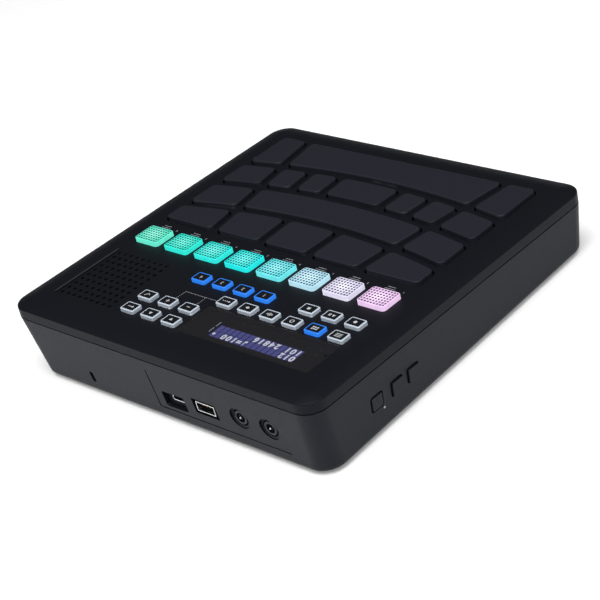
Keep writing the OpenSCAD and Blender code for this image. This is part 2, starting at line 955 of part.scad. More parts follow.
module usb_c_socket() {
    facing_rear(-usb_c_x, board_h + usb_c_rise) {
        difference() {
            slab(-well_d - usb_c_l, -well_d) rounded(usb_c_w, usb_c_h, usb_c_h / 2 - eps);
            slab(-well_d - usb_c_l + usb_c_back, 0)
                rounded(usb_c_w - 2 * shell_t, usb_c_h - 2 * shell_t, usb_c_h / 2 - shell_t - eps);
        }
        slab(-well_d - usb_c_l + usb_c_back / 2, -well_d - usb_c_tongue_in)
            square([usb_c_w - usb_c_h, usb_c_tongue_t], center = true);
    }
}

module usb_a_socket() {
    rise = usb_a_rise - usb_a_h / 2;
    facing_rear(-usb_a_x, board_h + usb_a_rise) {
        difference() {
            slab(-socket_inset - usb_a_l, -socket_inset)
                square([usb_a_w, usb_a_h], center = true);
            slab(-usb_a_l + usb_a_back, 0)
                square([usb_a_w - 2 * shell_t, usb_a_h - 2 * shell_t], center = true);
        }
        slab(-usb_a_l + usb_a_back / 2, -socket_inset - usb_a_tongue_in)
            translate([0, usb_a_tongue_rise])
                square([usb_a_w - 2 * usb_a_tongue_side, usb_a_tongue_t], center = true);
        slab(-socket_inset - usb_a_l, -2 * wall)
            translate([0, -usb_a_h / 2 - rise / 2])
                square([usb_a_w, rise], center = true);
    }
}

module jack_socket(x) {
    front = -wall - jack_rise * tan(rear_draft) - socket_inset;
    facing_rear(x, jack_h)
        difference() {
            union() {
                slab(front - jack_l, front)
                    square([jack_w, 2 * jack_rise], center = true);
                translate([0, 0, front - eps])
                    cylinder(r = jack_nose_r, h = -front - jack_inset + eps);
            }
            translate([0, 0, -jack_inset - jack_lead_l - jack_bore_l])
                cylinder(r = jack_bore_r, h = jack_bore_l + jack_lead_l + cut_over);
            translate([0, 0, -jack_inset - jack_lead_l])
                cylinder(r1 = jack_bore_r, r2 = jack_lead_r, h = jack_lead_l + eps);
        }
}

module rear_sockets() {
    color("#b9bcc0") {
        usb_c_socket();
        usb_a_socket();
        for (x = jacks_x)
            jack_socket(x);
    }
}

module battery_pack() {
    color("#3a5f9e")
        on_base()
            translate([0, battery_y, wall])
                linear_extrude(battery_h)
                    rounded(battery_w, battery_d, battery_r);
}

module speaker_driver() {
    color("#26272a")
        on_panel()
            translate([grille_x, grille_y, -speaker_z])
                difference() {
                    union() {
                        slab(-speaker_t, 0) rounded(speaker_w, speaker_w, speaker_corner_r);
                        translate([0, 0, -basket_h])
                            cylinder(r1 = magnet_r, r2 = basket_r, h = basket_h - speaker_t / 2);
                        translate([0, 0, -speaker_depth])
                            cylinder(r = magnet_r, h = speaker_depth - basket_h + eps);
                    }
                    translate([0, 0, -basket_h + cone_t])
                        cylinder(r1 = cone_r, r2 = basket_r - cone_rim, h = basket_h);
                }
}

module rubber_feet() {
    color("#17181a")
        foot_places()
            cylinder(d = foot_dia, h = foot_h + foot_sink);
}

module case_screws() {
    color("#8d9094")
        on_panel()
            for (s = SCREWS) {
                seat = underside_z(s[1]) + head_depth;
                translate([s[0], s[1], seat - head_t])
                    cylinder(r = head_r, h = head_t);
                translate([s[0], s[1], seat - eps])
                    cylinder(r = screw_r, h = -screw_tip_z - seat - screw_blind);
            }
}

top_cover();
bottom_case();
display_window();
display_module();
control_board();
pad_sensor_board();
main_board();
rear_sockets();
battery_pack();
speaker_driver();
rubber_feet();
case_screws();
for (pad = PADS)
    drum_pad(pad);
for (i = [0 : rgb_count - 1])
    rgb_pad(i);
for (b = BUTTONS)
    control_button(b);
for (s = SIDE_BUTTONS)
    side_button(s);
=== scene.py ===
import json
import math

import bmesh
import bpy
from bpy.props import FloatProperty, FloatVectorProperty, PointerProperty
from mathutils import Matrix, Vector


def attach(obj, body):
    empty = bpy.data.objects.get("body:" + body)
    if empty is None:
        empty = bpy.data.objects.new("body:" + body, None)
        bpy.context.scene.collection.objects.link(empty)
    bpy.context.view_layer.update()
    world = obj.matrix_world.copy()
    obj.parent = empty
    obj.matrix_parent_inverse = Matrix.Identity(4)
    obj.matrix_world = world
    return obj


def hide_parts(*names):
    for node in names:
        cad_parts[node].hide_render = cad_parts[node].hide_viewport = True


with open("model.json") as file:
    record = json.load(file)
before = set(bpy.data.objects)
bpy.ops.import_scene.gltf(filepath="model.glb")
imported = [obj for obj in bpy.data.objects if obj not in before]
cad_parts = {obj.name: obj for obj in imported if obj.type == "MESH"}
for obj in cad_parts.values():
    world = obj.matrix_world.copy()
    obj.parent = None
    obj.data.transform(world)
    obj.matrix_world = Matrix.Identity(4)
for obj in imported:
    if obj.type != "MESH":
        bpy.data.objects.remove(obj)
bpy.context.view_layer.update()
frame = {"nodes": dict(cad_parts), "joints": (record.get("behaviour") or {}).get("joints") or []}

bl_info = {
    "name": "Finger drum pad",
    "version": (1, 0, 0),
    "blender": (4, 5, 0),
    "location": "View3D > Sidebar > Drum pad",
    "description": "Dresses a packed finger drum pad with its finishes, marks and stage",
    "category": "Object",
}

BODY = "body"
MM = 0.001
# How near a level counts as on it, and the least angle of a sharp edge.
FLAT = 0.02 * MM
SHARP = math.radians(46)

# The panel's own frame: slope by the struck pads' axis, height by the window's top, middle at PANEL_Y.
PANEL_AXIS = next(Vector(j["axis"]) for j in frame["joints"] if j["child"] == "drum_pad_a3").normalized()
SIDE_AXIS = next(Vector(j["axis"]) for j in frame["joints"] if j["child"] == "power_button").normalized()
SLOPE = math.atan2(-PANEL_AXIS.y, PANEL_AXIS.z)
PANEL_LEVEL = max(PANEL_AXIS.dot(v.co) for v in frame["nodes"]["display_window"].data.vertices)
PANEL_Y = -0.254 * MM
PANEL = (
    Matrix.Translation((0, PANEL_Y, (PANEL_LEVEL - PANEL_Y * PANEL_AXIS.y) / PANEL_AXIS.z))
    @ Matrix.Rotation(SLOPE, 4, "X")
)
PANEL_BACK = PANEL.inverted()

DRUM_PADS = sorted(n for n in frame["nodes"] if n.startswith("drum_pad"))
COLOUR_PADS = sorted(n for n in frame["nodes"] if n.startswith("rgb_pad"))
LIT_BUTTONS = ("mode_button_2", "bank_button_1", "bank_button_2", "bank_button_3", "bank_button_4")
SIDE_BUTTONS = ("power_button", "volume_up_button", "volume_down_button")


def tone(red, green, blue):
    """A display colour of 0 to 255 as a linear one."""
    return tuple(
        v / 12.92 if v <= 0.04045 else ((v + 0.055) / 1.055) ** 2.4
        for v in (red / 255, green / 255, blue / 255)
    )


def length(name, description, millimetres):
    return FloatProperty(name=name, description=description, default=millimetres * MM, unit="LENGTH")


def colour_of(name, description, *display):
    return FloatVectorProperty(
        name=name, description=description, default=tone(*display), subtype="COLOR", min=0, max=1
    )


class DrumPadSizes(bpy.types.PropertyGroup):
    """Sizes of the dressed pieces"""

    pad_round: length("Pad edge", "Rounding of a drum pad's top edge", 1.0)
    colour_pad_round: length("Colour pad edge", "Rounding of a colour pad's top edge", 0.4)
    colour_pad_border: length("Colour pad border", "Plain border round a colour pad's dots", 0.25)
    button_round: length("Button edge", "Rounding of a button's top edge", 0.45)
    button_border: length("Button border", "Clear border round a button's black top", 0.4)
    side_button_round: length("Side button edge", "Rounding of a side button's outer edge", 0.35)
    window_round: length("Window edge", "Rounding of the window's top edge", 0.15)
    rim_round: length("Rim edge", "Rounding of the cover's rim", 0.5)
    print_height: length("Print height", "Thickness of printed marks", 0.04)


class DrumPadColours(bpy.types.PropertyGroup):
    """Colours of the finishes"""

    cover: colour_of("Cover", "Matte black of the panel", 17, 18, 22)
    case: colour_of("Case", "Charcoal of the case", 15, 16, 20)
    rubber: colour_of("Pads", "Dark grey of the drum pads", 31, 32, 38)
    button: colour_of("Buttons", "Clear grey of the unlit buttons", 184, 194, 205)
    lit_button: colour_of("Lit buttons", "Blue of the lit buttons", 46, 132, 246)
    glow: FloatProperty(
        name="Glow", description="Strength of the light in the colour pads", default=0.8, min=0, max=5
    )


def sizes():
    return bpy.context.scene.drum_pad_sizes


def colours():
    return bpy.context.scene.drum_pad_colours


# Finishes


class Finish:
    """A node material under construction."""

    def __init__(self, name):
        self.material = bpy.data.materials.new(name)
        self.material.use_nodes = True
        self.tree = self.material.node_tree
        self.shader = self.tree.nodes["Principled BSDF"]
        self.coords = self.tree.nodes.new("ShaderNodeTexCoord")

    def node(self, kind, **values):
        made = self.tree.nodes.new(kind)
        for key, value in values.items():
            setattr(made, key, value)
        return made

    def link(self, source, target):
        self.tree.links.new(source, target)

    def set(self, **values):
        for key, value in values.items():
            self.shader.inputs[key.replace("_", " ")].default_value = value

    def noise(self, scale, detail=3.0):
        made = self.node("ShaderNodeTexNoise")
        made.inputs["Scale"].default_value = scale
        made.inputs["Detail"].default_value = detail
        self.link(self.coords.outputs["Object"], made.inputs["Vector"])
        return made

    def measure(self, source, scale):
        """Distance from the origin, after a scale."""
        sized = self.node("ShaderNodeVectorMath", operation="MULTIPLY")
        sized.inputs[1].default_value = scale
        self.link(source, sized.inputs[0])
        far = self.node("ShaderNodeVectorMath", operation="LENGTH")
        self.link(sized.outputs["Vector"], far.inputs[0])
        return far.outputs["Value"]

    def ramp(self, source, stops):
        made = self.node("ShaderNodeValToRGB")
        for stop, (place, colour) in zip(made.color_ramp.elements, stops):
            stop.position = place
            stop.color = (*colour, 1)
        self.link(source, made.inputs["Fac"])
        return made

    def mottle(self, colour, spread, scale, socket="Base Color"):
        """A little light and shade in the colour."""
        dark = tuple(c * (1 - spread) for c in colour)
        light = tuple(min(1, c * (1 + spread)) for c in colour)
        ramp = self.ramp(self.noise(scale).outputs["Fac"], ((0.35, dark), (0.65, light)))
        self.link(ramp.outputs["Color"], self.shader.inputs[socket])

    def background(self, strength):
        """A little light of its own where it is seen, straight on, in gloss or through glass."""
        path = self.node("ShaderNodeLightPath")
        total = path.outputs["Is Camera Ray"]
        for name in ("Is Glossy Ray", "Is Transmission Ray"):
            both = self.node("ShaderNodeMath", operation="ADD", use_clamp=True)
            self.link(total, both.inputs[0])
            self.link(path.outputs[name], both.inputs[1])
            total = both.outputs["Value"]
        level = self.node("ShaderNodeMath", operation="MULTIPLY")
        level.inputs[1].default_value = strength
        self.link(total, level.inputs[0])
        self.link(level.outputs["Value"], self.shader.inputs["Emission Strength"])
        self.set(Emission_Color=(1, 1, 1, 1))

    def rough(self, low, high, scale):
        """A roughness that wanders between two values."""
        made = self.node("ShaderNodeMapRange")
        made.inputs["From Min"].default_value = 0.3
        made.inputs["From Max"].default_value = 0.7
        made.inputs["To Min"].default_value = low
        made.inputs["To Max"].default_value = high
        self.link(self.noise(scale).outputs["Fac"], made.inputs["Value"])
        self.link(made.outputs["Result"], self.shader.inputs["Roughness"])

    def grain(self, scale, strength, depth):
        """A fine moulded grain."""
        bump = self.node("ShaderNodeBump")
        bump.inputs["Strength"].default_value = strength
        bump.inputs["Distance"].default_value = depth
        self.link(self.noise(scale, 2.0).outputs["Fac"], bump.inputs["Height"])
        self.link(bump.outputs["Normal"], self.shader.inputs["Normal"])


FINISHES = {}
COOL_GLOSS = (0.71, 0.79, 1.0, 1.0)


def moulded(name, colour, roughness=0.6, spread=0.1, grain=2600, depth=0.03 * MM, specular=0.3):
    """Moulded plastic or rubber with a fine grain."""
    if name not in FINISHES:
        made = Finish(name)
        made.mottle(colour, spread, 1500)
        made.rough(roughness - 0.03, roughness + 0.03, 900)
        made.grain(grain, 0.25, depth)
        made.set(Specular_IOR_Level=specular, Specular_Tint=COOL_GLOSS)
        FINISHES[name] = made.material
    return FINISHES[name]


def metal(name, colour, roughness=0.25, brushed=900):
    """Plated metal with fine draw marks."""
    if name not in FINISHES:
        made = Finish(name)
        made.mottle(colour, 0.08, brushed)
        made.rough(roughness - 0.08, roughness + 0.08, brushed)
        made.grain(brushed, 0.1, 0.01 * MM)
        made.set(Metallic=1.0)
        FINISHES[name] = made.material
    return FINISHES[name]


def lit(name, colour, strength, spread=0.06, scale=300, roughness=0.45):
    """Clear silicone or plastic with a lamp behind it; also the painted glow of white print and of unlit
    lamps.
    """
    if name not in FINISHES:
        made = Finish(name)
        made.mottle(tuple(0.25 * c for c in colour) if strength else colour, spread, scale)
        made.mottle(colour, spread, scale, "Emission Color")
        made.rough(roughness - 0.05, roughness + 0.05, 400)
        made.grain(1800, 0.15, 0.02 * MM)
        made.set(Emission_Strength=strength)
        FINISHES[name] = made.material
    return FINISHES[name]


def dotted(name, colour, strength, centre, reach, pitch, dot):
    """The lit top of a colour pad, palest over its lamp, with a grid of moulded dots."""
    if name not in FINISHES:
        made = Finish(name)
        turn = made.node("ShaderNodeMapping", vector_type="TEXTURE")
        turn.inputs["Location"].default_value = centre
        turn.inputs["Rotation"].default_value = (SLOPE, 0, 0)
        made.link(made.coords.outputs["Object"], turn.inputs["Vector"])
        away = made.measure(turn.outputs["Vector"], (1 / reach[0], 1 / reach[1], 0))
        cell = made.node("ShaderNodeVectorMath", operation="WRAP")
        cell.inputs[1].default_value = (pitch[0] / 2, pitch[1] / 2, 1)
        cell.inputs[2].default_value = (-pitch[0] / 2, -pitch[1] / 2, -1)
        made.link(turn.outputs["Vector"], cell.inputs[0])
        near = made.measure(cell.outputs["Vector"], (1 / pitch[0], 1 / pitch[1], 0))
        grey = sum(colour) / 3
        middle = tuple(0.6 * c + 0.18 * grey for c in colour)
        border = tuple(0.5 * c ** 1.3 for c in colour)
        glow = made.ramp(away, ((0.1, middle), (1.0, border)))
        dots = made.ramp(near, ((dot - 0.06, (0.02, 0.02, 0.02)), (dot + 0.08, (1, 1, 1))))
        both = made.node("ShaderNodeMix", data_type="RGBA", blend_type="MULTIPLY")
        both.inputs["Factor"].default_value = 1.0
        made.link(glow.outputs["Color"], both.inputs["A"])
        made.link(dots.outputs["Color"], both.inputs["B"])
        made.link(both.outputs["Result"], made.shader.inputs["Base Color"])
        made.link(both.outputs["Result"], made.shader.inputs["Emission Color"])
        bump = made.node("ShaderNodeBump")
        bump.inputs["Strength"].default_value = 0.4
        bump.inputs["Distance"].default_value = 0.1 * MM
        made.link(near, bump.inputs["Height"])
        made.link(bump.outputs["Normal"], made.shader.inputs["Normal"])
        made.set(Emission_Strength=strength, Roughness=0.55, Specular_IOR_Level=0.2)
        FINISHES[name] = made.material
    return FINISHES[name]


# Mesh helpers


def merged(node):
    """A CAD solid's mesh with its triangles joined up."""
    shape = bmesh.new()
    shape.from_mesh(frame["nodes"][node].data)
    bmesh.ops.remove_doubles(shape, verts=shape.verts[:], dist=0.002 * MM)
    bmesh.ops.dissolve_limit(
        shape, angle_limit=math.radians(0.4), use_dissolve_boundaries=False,
        verts=shape.verts[:], edges=shape.edges[:],
    )
    return shape


def panel_box(node):
    """Lowest and highest corner of a CAD node in the panel's frame."""
    places = [PANEL_BACK @ v.co for v in frame["nodes"][node].data.vertices]
    return (
        Vector(min(p[i] for p in places) for i in range(3)),
        Vector(max(p[i] for p in places) for i in range(3)),
    )


def round_edges(shape, edges, width, segments=3):
    bmesh.ops.bevel(
        shape, geom=edges, offset=width, offset_type="OFFSET", affect="EDGES", segments=segments,
        profile=0.5, material=-1, clamp_overlap=True,
    )


def top_edges(shape, level, back=PANEL_BACK):
    """The sharp edges that bound the faces at a level of a frame, the panel's if no other is named."""
    return [
        e for e in shape.edges
        if len(e.link_faces) == 2 and e.calc_face_angle() > SHARP
        and all((back @ v.co).z > level - FLAT for v in e.verts)
    ]


def border_top(shape, level, width):
    """Leaves a border round the faces at a level of the panel's frame, which get the second finish."""
    tops = [f for f in shape.faces if all((PANEL_BACK @ v.co).z > level - FLAT for v in f.verts)]
    bmesh.ops.inset_region(shape, faces=tops, thickness=width, depth=0, use_even_offset=True)
    for face in tops:
        face.material_index = 1


def finish_piece(name, shape, finishes, body, replaces=None, sharp=38):
    """Turns a bmesh into a piece that rides on a body."""
    for face in shape.faces:
        face.smooth = True
    mesh = bpy.data.meshes.new(name)
    shape.to_mesh(mesh)
    shape.free()
    mesh.set_sharp_from_angle(angle=math.radians(sharp))
    for finish in finishes:
        mesh.materials.append(finish)
    piece = bpy.data.objects.new(name, mesh)
    bpy.context.scene.collection.objects.link(piece)
    level = piece.modifiers.new("flat_faces", "WEIGHTED_NORMAL")
    level.keep_sharp = True
    level.weight = 100
    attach(piece, body)
    if replaces:
        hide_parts(replaces)


class Marks:
    """Printed marks that are added to a bmesh in a flat frame, each a thin closed solid."""

    def __init__(self, shape, place, index=0, height=None):
        self.shape = shape
        self.place = place
        self.index = index
        self.height = height or sizes().print_height

    def add(self, make, at, turn=0.0, stretch=(1, 1)):
        old = set(self.shape.faces)
        matrix = (
            self.place @ Matrix.Translation((at[0], at[1], self.height / 2))
            @ Matrix.Rotation(turn, 4, "Z") @ Matrix.Diagonal((*stretch, 1, 1))
        )
        make(matrix)
        for face in self.shape.faces:
            if face not in old:
                face.material_index = self.index

    def bar(self, at, size, turn=0.0):
        self.add(
            lambda m: bmesh.ops.create_cube(
                self.shape, size=1.0, matrix=m @ Matrix.Diagonal((size[0], size[1], self.height, 1))
            ),
            at, turn,
        )

    def disc(self, at, radius, segments=20, turn=0.0, stretch=(1, 1)):
        self.add(
            lambda m: bmesh.ops.create_cone(
                self.shape, cap_ends=True, cap_tris=False, segments=segments,
                radius1=radius, radius2=radius, depth=self.height, matrix=m,
            ),
            at, turn, stretch,
        )

    def ring(self, at, outer, inner, sweep=math.tau, start=0.0):
        def spin(matrix):
            corners = [
                self.shape.verts.new((r * math.cos(start), r * math.sin(start), z))
                for r, z in ((inner, -1), (outer, -1), (outer, 1), (inner, 1))
            ]
            for v in corners:
                v.co.z *= self.height / 2
            face = self.shape.faces.new(corners)
            whole = sweep >= math.tau - 0.001
            bmesh.ops.spin(
                self.shape, geom=[face, *face.edges, *face.verts], cent=(0, 0, 0), axis=(0, 0, 1),
                angle=sweep, steps=24, use_merge=whole,
            )
            ring = set(corners)
            reach = list(corners)
            while reach:
                for edge in reach.pop().link_edges:
                    for v in edge.verts:
                        if v not in ring:
                            ring.add(v)
                            reach.append(v)
            bmesh.ops.remove_doubles(self.shape, verts=list(ring), dist=0.001 * MM)
            ring = [v for v in ring if v.is_valid]
            faces = list({f for v in ring for f in v.link_faces})
            if whole:
                inside = [f for f in faces if all(v in corners for v in f.verts)]
                if inside:
                    bmesh.ops.delete(self.shape, geom=inside, context="FACES_ONLY")
                    faces = [f for f in faces if f.is_valid]
            bmesh.ops.recalc_face_normals(self.shape, faces=faces)
            bmesh.ops.transform(self.shape, matrix=matrix, verts=ring)

        self.add(spin, at)

    def words(self, text, at, size, bold=0.0):
        """Plain numbers, as a mesh."""
        curve = bpy.data.curves.new("numbers", "FONT")
        curve.body = text
        curve.size = size
        curve.align_x = "CENTER"
        curve.align_y = "CENTER"
        curve.extrude = self.height / 2
        curve.offset = bold
        curve.resolution_u = 3
        holder = bpy.data.objects.new("numbers", curve)
        bpy.context.scene.collection.objects.link(holder)
        bpy.context.view_layer.update()
        mesh = bpy.data.meshes.new_from_object(holder.evaluated_get(bpy.context.evaluated_depsgraph_get()))
        bpy.data.objects.remove(holder)
        bpy.data.curves.remove(curve)

        def put(matrix):
            mesh.transform(matrix)
            self.shape.from_mesh(mesh)

        self.add(put, at)
        bpy.data.meshes.remove(mesh)


def dress(node, finish):
    """Gives a carried-over CAD node its finish."""
    data = frame["nodes"][node].data
    data.materials.clear()
    data.materials.append(finish)


def cover_finish():
    return moulded("Cover_matte_black", colours().cover, 0.5, 0.05, specular=0.127)


def case_finish():
    return moulded("Case_charcoal", colours().case, 0.5, 0.05, specular=0.187)


class DRUMPAD_OT_body(bpy.types.Operator):
    """Dress the cover and the case"""

    bl_idname = "drumpad.body"
    bl_label = "Cover and case"

    rib_level = 0.6 * MM
    rim_levels = (-2.3 * MM, -1.9 * MM)
    rim_width = 4 * MM

    def execute(self, context):
        cover = merged("top_cover")
        reach = panel_box("top_cover")[1]
        outer = [
            e for e in cover.edges
            if len(e.link_faces) == 2 and e.calc_face_angle() > SHARP and self.at_rim(e, reach)
        ]
        round_edges(cover, outer, sizes().rim_round, 3)
        # The rib's top faces get a grey much lighter than the cover's: a painted highlight along the rib's
        # top.
        for face in cover.faces:
            if all((PANEL_BACK @ v.co).z > self.rib_level for v in face.verts):
                face.material_index = 1
        rib_top_painted_highlight = moulded("Rib_top_painted_highlight", tone(46, 48, 54), 0.4, 0.05)
        finish_piece("cover", cover, [cover_finish(), rib_top_painted_highlight], BODY, "top_cover", 30)
        case = merged("bottom_case")
        finish_piece("case", case, [case_finish()], BODY, "bottom_case", 30)
        dress("rubber_feet", moulded("Foot_rubber", tone(22, 22, 24), 0.75, 0.15))
        dress("case_screws", metal("Screw_steel", tone(120, 122, 126), 0.35))
        return {"FINISHED"}

    def at_rim(self, edge, reach):
        """On the outer rim, where the crowned border meets the upright flange."""
        low, high = self.rim_levels
        places = [PANEL_BACK @ v.co for v in edge.verts]
        return all(
            low <= p.z <= high
            and (abs(p.x) >= reach.x - self.rim_width or abs(p.y) >= reach.y - self.rim_width)
            for p in places
        )


class DRUMPAD_OT_drum_pads(bpy.types.Operator):
    """Round and finish the struck pads"""

    bl_idname = "drumpad.drum_pads"
    bl_label = "Drum pads"

    def execute(self, context):
        rubber = moulded("Pad_rubber", colours().rubber, 0.55, 0.05, 2200, 0.03 * MM, 0.22)
        for node in DRUM_PADS:
            shape = merged(node)
            round_edges(shape, top_edges(shape, panel_box(node)[1].z), sizes().pad_round, 4)
            finish_piece("dressed_" + node, shape, [rubber], node, node)
        return {"FINISHED"}


class DRUMPAD_OT_colour_pads(bpy.types.Operator):
    """Round and light the colour pads"""

    bl_idname = "drumpad.colour_pads"
    bl_label = "Colour pads"

    hues = (
        (240, 206, 244), (226, 222, 244), (184, 228, 244), (112, 234, 240),
        (36, 238, 234), (50, 238, 228), (50, 238, 218), (106, 240, 212),
    )
    dot_pitch = (2.0 * MM, 1.95 * MM)
    dot = 0.3
    top_share = 0.75

    def execute(self, context):
        for node, hue in zip(COLOUR_PADS, self.hues):
            shape = merged(node)
            low, high = panel_box(node)
            round_edges(shape, top_edges(shape, high.z), sizes().colour_pad_round, 4)
            border_top(shape, high.z, sizes().colour_pad_border)
            key = node.replace("rgb_pad", "Glow")
            strength = colours().glow
            centre = PANEL @ Vector(((low.x + high.x) / 2, (low.y + high.y) / 2, high.z))
            reach = (high - low) / 2
            finishes = [
                lit(key + "_side", tone(*hue), strength),
                dotted(
                    key + "_top", tone(*hue), self.top_share * strength,
                    centre, reach, self.dot_pitch, self.dot,
                ),
            ]
            finish_piece("dressed_" + node, shape, finishes, node, node)
        return {"FINISHED"}


class DRUMPAD_OT_buttons(bpy.types.Operator):
    """Round the control buttons and print their tops"""

    bl_idname = "drumpad.buttons"
    bl_label = "Control buttons"

    sign = 1.2 * MM

    def execute(self, context):
        clear = lit("Button_clear_grey", colours().button, 0.0, 0.04, 200, 0.4)
        blue = lit("Button_lit_blue", colours().lit_button, 0.75, 0.05, 200, 0.4)
        black = moulded("Button_black_print", tone(16, 17, 19), 0.45, 0.1, 1500)
        # White print on the button tops, with a glow of its own on every button, the unlit ones too:
        # painted light.
        white = lit("Button_mark_white_painted_glow", tone(225, 228, 232), 0.5, 0.03, 400, 0.5)
        for node in sorted(frame["nodes"]):
            if not node.endswith("_button") and "_button_" not in node or node in SIDE_BUTTONS:
                continue
            shape = merged(node)
            low, high = panel_box(node)
            round_edges(shape, top_edges(shape, high.z), sizes().button_round, 3)
            border_top(shape, high.z, sizes().button_border)
            middle = (low + high) / 2
            place = PANEL @ Matrix.Translation((middle.x, middle.y, high.z))
            self.mark(Marks(shape, place, 2), node)
            is_lit = node in LIT_BUTTONS
            finish_piece(
                "dressed_" + node, shape, [blue if is_lit else clear, black, white], node, node,
            )
        return {"FINISHED"}

    def mark(self, marks, node):
        """A plain sign for each button."""
        thin = 0.32 * self.sign
        left, right = math.pi, 0.0
        if node in ("nav_left_button", "nav_right_button"):
            marks.disc((0, 0), 1.1 * self.sign, 3, left if "left" in node else right)
        elif node in ("minus_button", "plus_button"):
            marks.bar((0, 0), (2.0 * self.sign, thin))
            if node == "plus_button":
                marks.bar((0, 0), (thin, 2.0 * self.sign))
        elif node == "back_button":
            marks.disc((-1.3 * self.sign, 0), 0.8 * self.sign, 3, left)
            marks.bar((0.4 * self.sign, 0), (2.4 * self.sign, thin))
        elif node == "confirm_button":
            marks.bar((-0.75 * self.sign, -0.3 * self.sign), (1.4 * self.sign, thin), math.radians(-45))
            marks.bar((0.6 * self.sign, 0.15 * self.sign), (2.4 * self.sign, thin), math.radians(45))
        elif node == "record_button":
            marks.disc((0, 0), 0.85 * self.sign)
        elif node == "play_button":
            marks.disc((-1.1 * self.sign, 0), 1.0 * self.sign, 3, right)
            for x in (0.7, 1.5):
                marks.bar((x * self.sign, 0), (0.4 * self.sign, 1.6 * self.sign))
        elif node == "stop_button":
            marks.bar((0, 0), (1.5 * self.sign, 1.5 * self.sign))
        elif node.startswith("bank_button"):
            marks.words(node[-1], (0, 0), 2.6 * self.sign)
        else:
            self.mode_sign(marks, int(node[-1]), thin)

    def mode_sign(self, marks, number, thin):
        """List, pads, ring, levels, diamond and beat for the row of six."""
        if number == 1:
            for y in (-0.9, 0, 0.9):
                marks.bar((0, y * self.sign), (3.6 * self.sign, thin))
        elif number == 2:
            for x in (-1.2, 0, 1.2):
                for y in (-0.6, 0.6):
                    marks.bar((x * self.sign, y * self.sign), (0.8 * self.sign, 0.8 * self.sign))
        elif number == 3:
            marks.ring((0, 0), 1.1 * self.sign, 0.75 * self.sign)
        elif number == 4:
            for i, tall in enumerate((0.9, 1.7, 2.3, 1.4, 0.7)):
                marks.bar(((i - 2) * 0.75 * self.sign, 0), (thin, tall * self.sign))
        elif number == 5:
            marks.disc((0, 0), 0.8 * self.sign, 4, 0, (1.4, 1))
        else:
            for i in range(4):
                marks.disc(((i - 1.5) * 1.15 * self.sign, 0), (0.5 if i == 0 else 0.3) * self.sign, 14)


class DRUMPAD_OT_side_buttons(bpy.types.Operator):
    """Finish the side buttons and add their signs and lamp"""

    bl_idname = "drumpad.side_buttons"
    bl_label = "Side buttons"

    thin = 0.35 * MM
    long = 2.6 * MM
    sunk = 0.02 * MM
    ring_r = 1.5 * MM
    ring_gap = math.radians(70)
    stroke_x = 1.1 * MM
    stroke = 1.4 * MM
    lamp_from_power = Vector((-5.9 * MM, -4.3 * MM, -0.3 * MM))
    lamp_r = 0.55 * MM
    lamp_height = 0.25 * MM

    def execute(self, context):
        along = (PANEL.to_3x3() @ Vector((0, 1, 0))).normalized()
        up = along.cross(SIDE_AXIS).normalized()
        turn = Matrix((up, along, SIDE_AXIS)).transposed().to_4x4()
        cut = moulded("Side_sign_sunk", tone(24, 25, 28), 0.7, 0.1)
        for node in SIDE_BUTTONS:
            shape = merged(node)
            places = [turn.inverted() @ v.co for v in frame["nodes"][node].data.vertices]
            top = max(p.z for p in places)
            middle = Vector((
                (max(p.x for p in places) + min(p.x for p in places)) / 2,
                (max(p.y for p in places) + min(p.y for p in places)) / 2,
                top,
            ))
            round_edges(shape, top_edges(shape, top, turn.inverted()), sizes().side_button_round, 3)
            marks = Marks(shape, turn @ Matrix.Translation(middle), 1, self.sunk)
            if node == "power_button":
                sweep = math.tau - self.ring_gap
                marks.ring((0, 0), self.ring_r, self.ring_r - self.thin, sweep, self.ring_gap / 2)
                marks.bar((self.stroke_x, 0), (self.stroke, self.thin))
            else:
                marks.bar((0, 0), (self.thin, self.long))
                if node == "volume_up_button":
                    marks.bar((0, 0), (self.long, self.thin))
            finish_piece("dressed_" + node, shape, [case_finish(), cut], node, node)
            if node == "power_button":
                self.lamp(turn, middle)
        return {"FINISHED"}

    def lamp(self, turn, middle):
        """The small white power lamp in the wall."""
        shape = bmesh.new()
        place = turn @ Matrix.Translation(middle + self.lamp_from_power)
        Marks(shape, place, 0, self.lamp_height).disc((0, 0), self.lamp_r, 24)
        finish_piece("power_lamp", shape, [lit("Lamp_white", tone(215, 228, 242), 0.25)], BODY)


